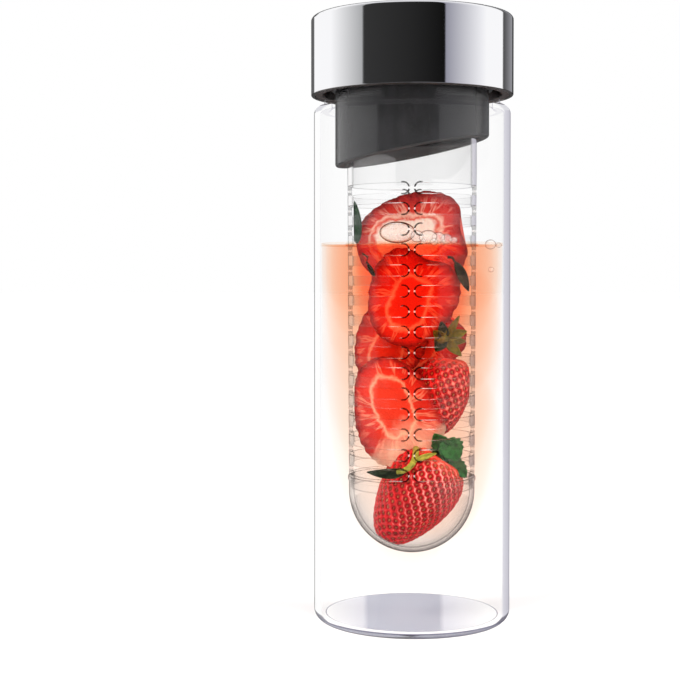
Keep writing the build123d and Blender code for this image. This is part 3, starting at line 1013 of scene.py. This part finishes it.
def berry(name, body, place, length, radius, taper, lobe, flat, flesh):
    """A whole berry, or, with a flesh, the far half of one with its cut face towards the front."""
    half = flesh is not None
    length, radius = length * mm, radius * mm
    rings = int(length * 1.35 / skin_step_along)
    sides = int(radius * 6.28 / skin_step_round)
    if half:
        angles = np.linspace(0.0, math.pi, sides // 2 + 1)
    else:
        angles = np.linspace(0.0, 2 * math.pi, sides, endpoint=False)
    turn, angle = np.meshgrid(np.linspace(0.0, math.pi, rings + 1), angles, indexing="ij")
    seeds = seed_places(length, radius, taper, lobe, flat, half)
    skin = berry_points(turn, angle, length, radius, taper, lobe, flat)
    skin, depth = dimpled(skin, seeds, length, radius, flat)
    tall = skin[..., 2] / length + 0.5
    back = place.to_3x3() @ Vector((0.0, 1.0, 0.0))
    toward = back if half else None
    mesh = grid_mesh(f"{name}_skin", placed(skin, place), not half, toward, dimple=depth, tall=tall)
    add_piece(f"{name}_skin", mesh, body, berry_skin)
    mesh = seeds_mesh(f"{name}_seeds", seeds, length, radius, flat, place)
    add_piece(f"{name}_seeds", mesh, body, berry_seed)
    if not half:
        return
    rim = np.concatenate([skin[:, 0], skin[-2:0:-1, -1]])
    middle = np.array([0.0, 0.0, core_height * length])
    shares = np.linspace(0.0, 1.0, flesh_rings)[:, None] ** flesh_crowding
    rows = middle + shares[..., None] * (rim - middle)
    swell = np.sin(9 * rows[..., 0] / radius + lobe) * np.sin(7 * rows[..., 2] / radius + 2 * lobe)
    rows[..., 1] += flesh_swell * swell * (1 - shares ** 6) - flesh_dent * (1 - shares ** 8)
    arms = rim - middle
    angle = np.arctan2(arms[:, 0], arms[:, 2])
    parts = (np.sin(angle), np.cos(angle), shares)
    ray = np.stack([np.broadcast_to(part, rows.shape[:2]) for part in parts], axis=-1)
    tall = rows[..., 2] / length + 0.5
    mesh = grid_mesh(f"{name}_flesh", placed(rows, place), True, -back, ray=ray, tall=tall)
    add_piece(f"{name}_flesh", mesh, body, flesh)


def leaf_rows(length, width, droop, curl, teeth):
    """A pointed leaf that grows along +X from the origin, with its middle along the vein."""
    steps, across, teeth_along = 18, 7, 5.5
    along = np.linspace(0.0, 1.0, steps)
    half = width / 2 * np.sin(math.pi * along ** 0.8) ** 0.8 + 0.05 * width * (1 - along)
    half = half * (1 + teeth * np.abs(np.sin(along * teeth_along * math.pi)))
    side = np.linspace(-1.0, 1.0, across)
    return np.stack([
        np.broadcast_to((along * length)[:, None], (steps, across)),
        half[:, None] * side[None, :],
        -droop * length * along[:, None] ** 2 + curl * half[:, None] * side[None, :] ** 2,
    ], axis=-1)


def add_leaf(name, mesh, body, material):
    """A leaf's sheet as a piece of its own, given its thickness."""
    thick = add_piece(name, mesh, body, material).modifiers.new("thickness", "SOLIDIFY")
    thick.thickness = leaf_thickness
    thick.offset = 0.0


def leaf(name, body, start, end, width, material, bow, roll, teeth=0.0):
    """A single leaf from its foot to its tip, both given in millimetres."""
    start, end = Vector(start) * mm, Vector(end) * mm
    along = (end - start).normalized()
    aside = along.cross(Vector((0.0, -1.0, 0.0))).normalized()
    over = aside.cross(along)
    if over.y > 0:
        over, aside = -over, -aside
    basis = Matrix((along, aside, over)).transposed() @ Matrix.Rotation(math.radians(roll), 3, "X")
    rows = leaf_rows((end - start).length, width * mm, bow, leaf_curl, teeth) @ np.array(basis).T
    add_leaf(name, grid_mesh(name, kept_inside(rows + np.array(start))), body, material)


def leaf_ring(name, body, place, leaves, material, width, teeth):
    """The leaves round the top of a berry: each is (angle, length, droop)."""
    for number, (angle, length, droop) in enumerate(leaves):
        spin = np.array(Matrix.Rotation(math.radians(angle), 3, "Z"))
        rows = leaf_rows(length * mm, width * mm, droop, ring_curl, teeth) @ spin.T
        add_leaf(f"{name}_{number + 1}", grid_mesh(name, placed(rows, place)), body, material)


def stem(name, body, points, radius, material):
    """A round stem that follows the points, given in millimetres, and narrows a little."""
    sides = 12
    path = [Vector(point) * mm for point in points]
    last = len(path) - 1
    rows = [[path[0]] * sides]
    for index, point in enumerate(path):
        ahead = path[min(index + 1, last)] - path[max(index - 1, 0)]
        turn = ahead.to_track_quat("Z", "Y")
        size = radius * mm * (stem_foot - stem_taper * index / last)
        rows.append([
            point + turn @ Vector((size * math.cos(t), size * math.sin(t), 0.0))
            for t in np.linspace(0, 2 * math.pi, sides, endpoint=False)
        ])
    rows.append([path[-1]] * sides)
    add_piece(name, grid_mesh(name, kept_inside(rows), True), body, material)


# name, body, middle (mm), tilt (degrees), length, radius (mm), taper, lobe, flatness, flesh of a cut one
for name, body, middle, tilt, *sizes in [
    ("berry_top", "infuser", (0.2, 0.5, 136.6), 80, 40.4, 16.4, 0.22, 1.0, 0.95, pale_flesh),
    ("berry_upper", "infuser", (-0.6, -3.5, 115.2), 22, 35.0, 16.6, 0.30, 2.0, 0.85, berry_flesh),
    ("berry_left", "infuser", (-8.2, 0.5, 98.6), 24, 31.0, 12.6, 0.30, 0.5, 0.8, berry_flesh),
    ("berry_middle", "infuser", (4.6, 3.5, 98.5), 42, 30.0, 12.0, 0.45, 3.0, 0.8, berry_flesh),
    ("berry_big", "infuser", (-6.2, -4.0, 75.2), 158, 40.0, 15.8, 0.36, 4.0, 0.5, white_flesh),
    ("berry_right", "infuser", (11.4, 4.0, 80.2), 10, 29.0, 10.2, 0.35, 5.0, 1.0, None),
    ("berry_bottom", "bowl", (0.6, -0.5, 43.6), 34, 38.0, 14.2, 0.45, 0.0, 1.0, None),
]:
    berry(name, body, turned_place(middle, tilt), *sizes)

# The star of leaves in the middle of the infuser: tip (mm), width (mm), material
star = (11.6, -6.0, 100.8)
for number, (end, width, material) in enumerate([
    ((17.0, -7.5, 109.0), 2.4, olive_leaf),
    ((10.4, -7.5, 107.0), 3.6, dark_leaf),
    ((19.6, -5.5, 103.8), 3.6, olive_leaf),
    ((19.2, -5.8, 99.8), 3.2, olive_leaf),
    ((17.6, -7.0, 94.8), 3.2, olive_leaf),
    ((7.6, -7.5, 103.6), 3.6, olive_leaf),
    ((8.4, -7.5, 96.6), 4.2, dark_leaf),
]):
    leaf(f"middle_leaf_{number + 1}", "infuser", star, end, width, material, 0.1, 12 * (number % 3 - 1))
stem("middle_stem", "infuser", [(9.0, -4.5, 99.6), (11.0, -6.4, 100.6), (12.3, -7.6, 101.2)], 1.5, olive_leaf)

# The bottom berry's leaves: a ring of (angle, length, droop), then three in front as (foot, tip, width)
leaf_ring("bottom_leaves", "bowl", turned_place((10.2, -1.2, 58.6), 38, -6), [
    (-60, 8.0, 0.35), (-15, 8.5, 0.45), (30, 8.0, 0.5), (80, 8.5, 0.35), (130, 8.0, 0.4), (190, 7.0, 0.3),
], fresh_leaf, 5.6, 0.12)
for number, (start, end, width) in enumerate([
    ((12.0, -3.0, 61.6), (8.0, -6.0, 66.8), 5.6),
    ((12.2, -3.5, 64.8), (16.6, -6.5, 57.6), 7.0),
    ((13.6, -4.0, 57.8), (19.8, -3.6, 51.4), 4.6),
]):
    leaf(f"bottom_leaf_{number + 1}", "bowl", start, end, width, fresh_leaf, 0.12, 10, 0.3)
stem("bottom_stem", "bowl", [
    (9.0, -1.0, 57.0), (10.6, -2.0, 60.0), (11.8, -2.8, 62.8), (12.0, -3.2, 65.2),
], 0.9, stem_green)

# The big slice's stem with its two leaves, and the loose leaves higher up
stem("big_stem", "infuser", [
    (1.6, -5.0, 61.6), (1.5, -8.5, 60.4), (1.1, -11.5, 58.8), (0.2, -13.5, 57.2), (-1.2, -14.4, 55.9),
    (-3.0, -14.6, 55.0), (-5.2, -14.2, 54.6),
], 1.15, stem_green)
leaf("big_leaf_left", "infuser", (-1.6, -14.4, 55.4), (-16.0, -11.0, 52.8), 4.6, dark_leaf, 0.12, 35)
leaf("big_leaf_right", "infuser", (1.2, -12.0, 58.4), (8.8, -12.4, 61.2), 1.8, stem_green, 0.1, 20)
leaf("leaf_top_left", "infuser", (-19.4, -3.6, 134.8), (-20.7, -2.4, 150.0), 4.6, dark_leaf, 0.05, 15)
leaf("leaf_right", "infuser", (15.2, -7.5, 128.0), (20.8, -3.0, 117.4), 3.4, dark_leaf, 0.1, 15)
stem("leaf_right_stem", "infuser", [(12.6, -8.0, 129.8), (14.2, -7.8, 129.6), (15.4, -7.5, 127.8)],
     0.5, dark_leaf)
leaf("leaf_left", "infuser", (-13.2, -5.5, 123.0), (-16.0, -6.0, 128.0), 1.5, dark_leaf, 0.1, 10)
stem("leaf_left_stem", "infuser", [(-16.0, -6.0, 127.6), (-15.6, -6.0, 129.8), (-17.6, -5.6, 131.2)],
     0.4, dark_leaf)


# The bubbles at the drink's surface
def bubble_material():
    """A thin film with a dark rim, a soft shine and a faint white haze."""
    material, tree = new_tree("bubble_film")
    facing = node(tree, "LayerWeight", {"Blend": 0.5}).outputs["Facing"]
    cloud = noise(tree, 0.5, 2.0)
    film = node(tree, "BsdfTransparent", {"Color": ramp(facing, [
        (0.0, 1.0), (0.45, 0.97), (0.66, (0.78, 0.68, 0.62)), (0.80, (0.20, 0.13, 0.10)),
        (1.0, (0.08, 0.05, 0.04)),
    ])})
    shine = node(tree, "BsdfGlossy", {
        "Color": rgba(1.0),
        "Roughness": ramp(cloud, [(0.3, 0.02), (0.7, 0.08)]),
    })
    white = node(tree, "BsdfDiffuse", {"Color": rgba((0.95, 0.90, 0.86))})
    gloss = ramp(facing, [(0.0, 0.03), (0.5, 0.08), (0.75, 0.12), (1.0, 0.5)])
    haze = times(ramp(facing, [(0.0, 0.42), (0.5, 0.32), (0.72, 0.0)]), cloud)
    clear = mix_shader(gloss, film.outputs[0], shine.outputs[0])
    return finished(material, mix_shader(haze, clear, white.outputs[0]))


def bubble(name, body, centre, radius, flat, material):
    """A bubble as wide as its radius says and flattened, its centre and radius given in millimetres."""
    rings, sides = 16, 32
    angles = np.linspace(0, 2 * math.pi, sides, endpoint=False)
    turns, angles = np.meshgrid(np.linspace(0, math.pi, rings + 1), angles, indexing="ij")
    sphere = [np.sin(turns) * np.cos(angles), np.sin(turns) * np.sin(angles), np.cos(turns) * flat]
    points = np.stack(sphere, axis=-1) * radius * mm + np.array(centre) * mm
    unshadowed(add_piece(name, grid_mesh(name, points, True), body, material))


# Each bubble is (x, y, z, radius, flatness). The foam lies in the infuser, the others by the glass.
foam = [
    (-5.0, -14.4, 138.3, 6.3, 0.60), (1.8, -17.6, 136.8, 2.3, 0.9), (5.6, -16.6, 136.6, 3.2, 0.75),
    (9.2, -15.6, 136.4, 2.3, 0.85), (12.0, -14.0, 136.0, 2.0, 0.9), (14.6, -12.0, 135.6, 1.3, 0.9),
    (7.6, -18.2, 134.9, 1.4, 0.9), (3.9, -18.8, 135.0, 1.0, 1.0), (10.8, -16.6, 134.8, 1.0, 1.0),
]
loose = [(27.6, -8.0, 134.2, 1.9, 0.9), (30.6, -6.0, 134.0, 1.0, 0.9), (28.0, -6.0, 125.4, 1.0, 0.9)]
film = bubble_material()
for kind, body, places in (("foam", "infuser", foam), ("bubble", "bottle", loose)):
    for number, (x, y, z, radius, flat) in enumerate(places):
        bubble(f"{kind}_{number + 1}", body, (x, y, z), radius, flat, film)


# The screw threads of the cap and of the stopper's collar, two ridges each
thread_lead = 6.0 * mm
thread_width = 1.3 * mm
thread_root = 0.1 * mm
collar_radius = 28.6 * mm
liner_bore = 29.8 * mm
thread_rise = 0.75 * mm
thread_sides = 96
thread_fade = 1 / 9


def thread(name, body, root, crest, start, bottom, top, material):
    """One ridge that winds upward and fades out at both ends."""
    steps = int((top - bottom) / thread_lead * thread_sides)
    rows = []
    for step in range(steps + 1):
        share = step / steps
        turn = start + (top - bottom) * share / thread_lead * 2 * math.pi
        full = min(1.0, share / thread_fade, (1 - share) / thread_fade)
        middle = bottom + (top - bottom) * share
        section = [
            (root, -thread_width / 2), (root + (crest - root) * full, -thread_width / 5),
            (root + (crest - root) * full, thread_width / 5), (root, thread_width / 2),
        ]
        rows.append([(r * math.cos(turn), r * math.sin(turn), middle + z) for r, z in section])
    add_piece(name, grid_mesh(name, rows, True), body, material)


thread_bottom = 202.9 * mm
thread_top = 208.0 * mm
for number in range(2):
    start = number * math.pi
    thread(f"collar_thread_{number + 1}", "stopper", collar_radius - thread_root, collar_radius + thread_rise,
           start, thread_bottom, thread_top, black_plastic)
    thread(f"liner_thread_{number + 1}", "cap", liner_bore + thread_root, liner_bore - thread_rise,
           start + math.pi / 2, thread_bottom, thread_top, dark_plastic)


# How the picture is made
scene.view_settings.view_transform = "Standard"
scene.cycles.max_bounces = 48
scene.cycles.transmission_bounces = 40
scene.cycles.glossy_bounces = 12
scene.cycles.diffuse_bounces = 4
scene.cycles.transparent_max_bounces = 64
scene.cycles.caustics_reflective = False
scene.cycles.caustics_refractive = False
scene.cycles.sample_clamp_indirect = 8.0
scene.cycles.use_denoising = True
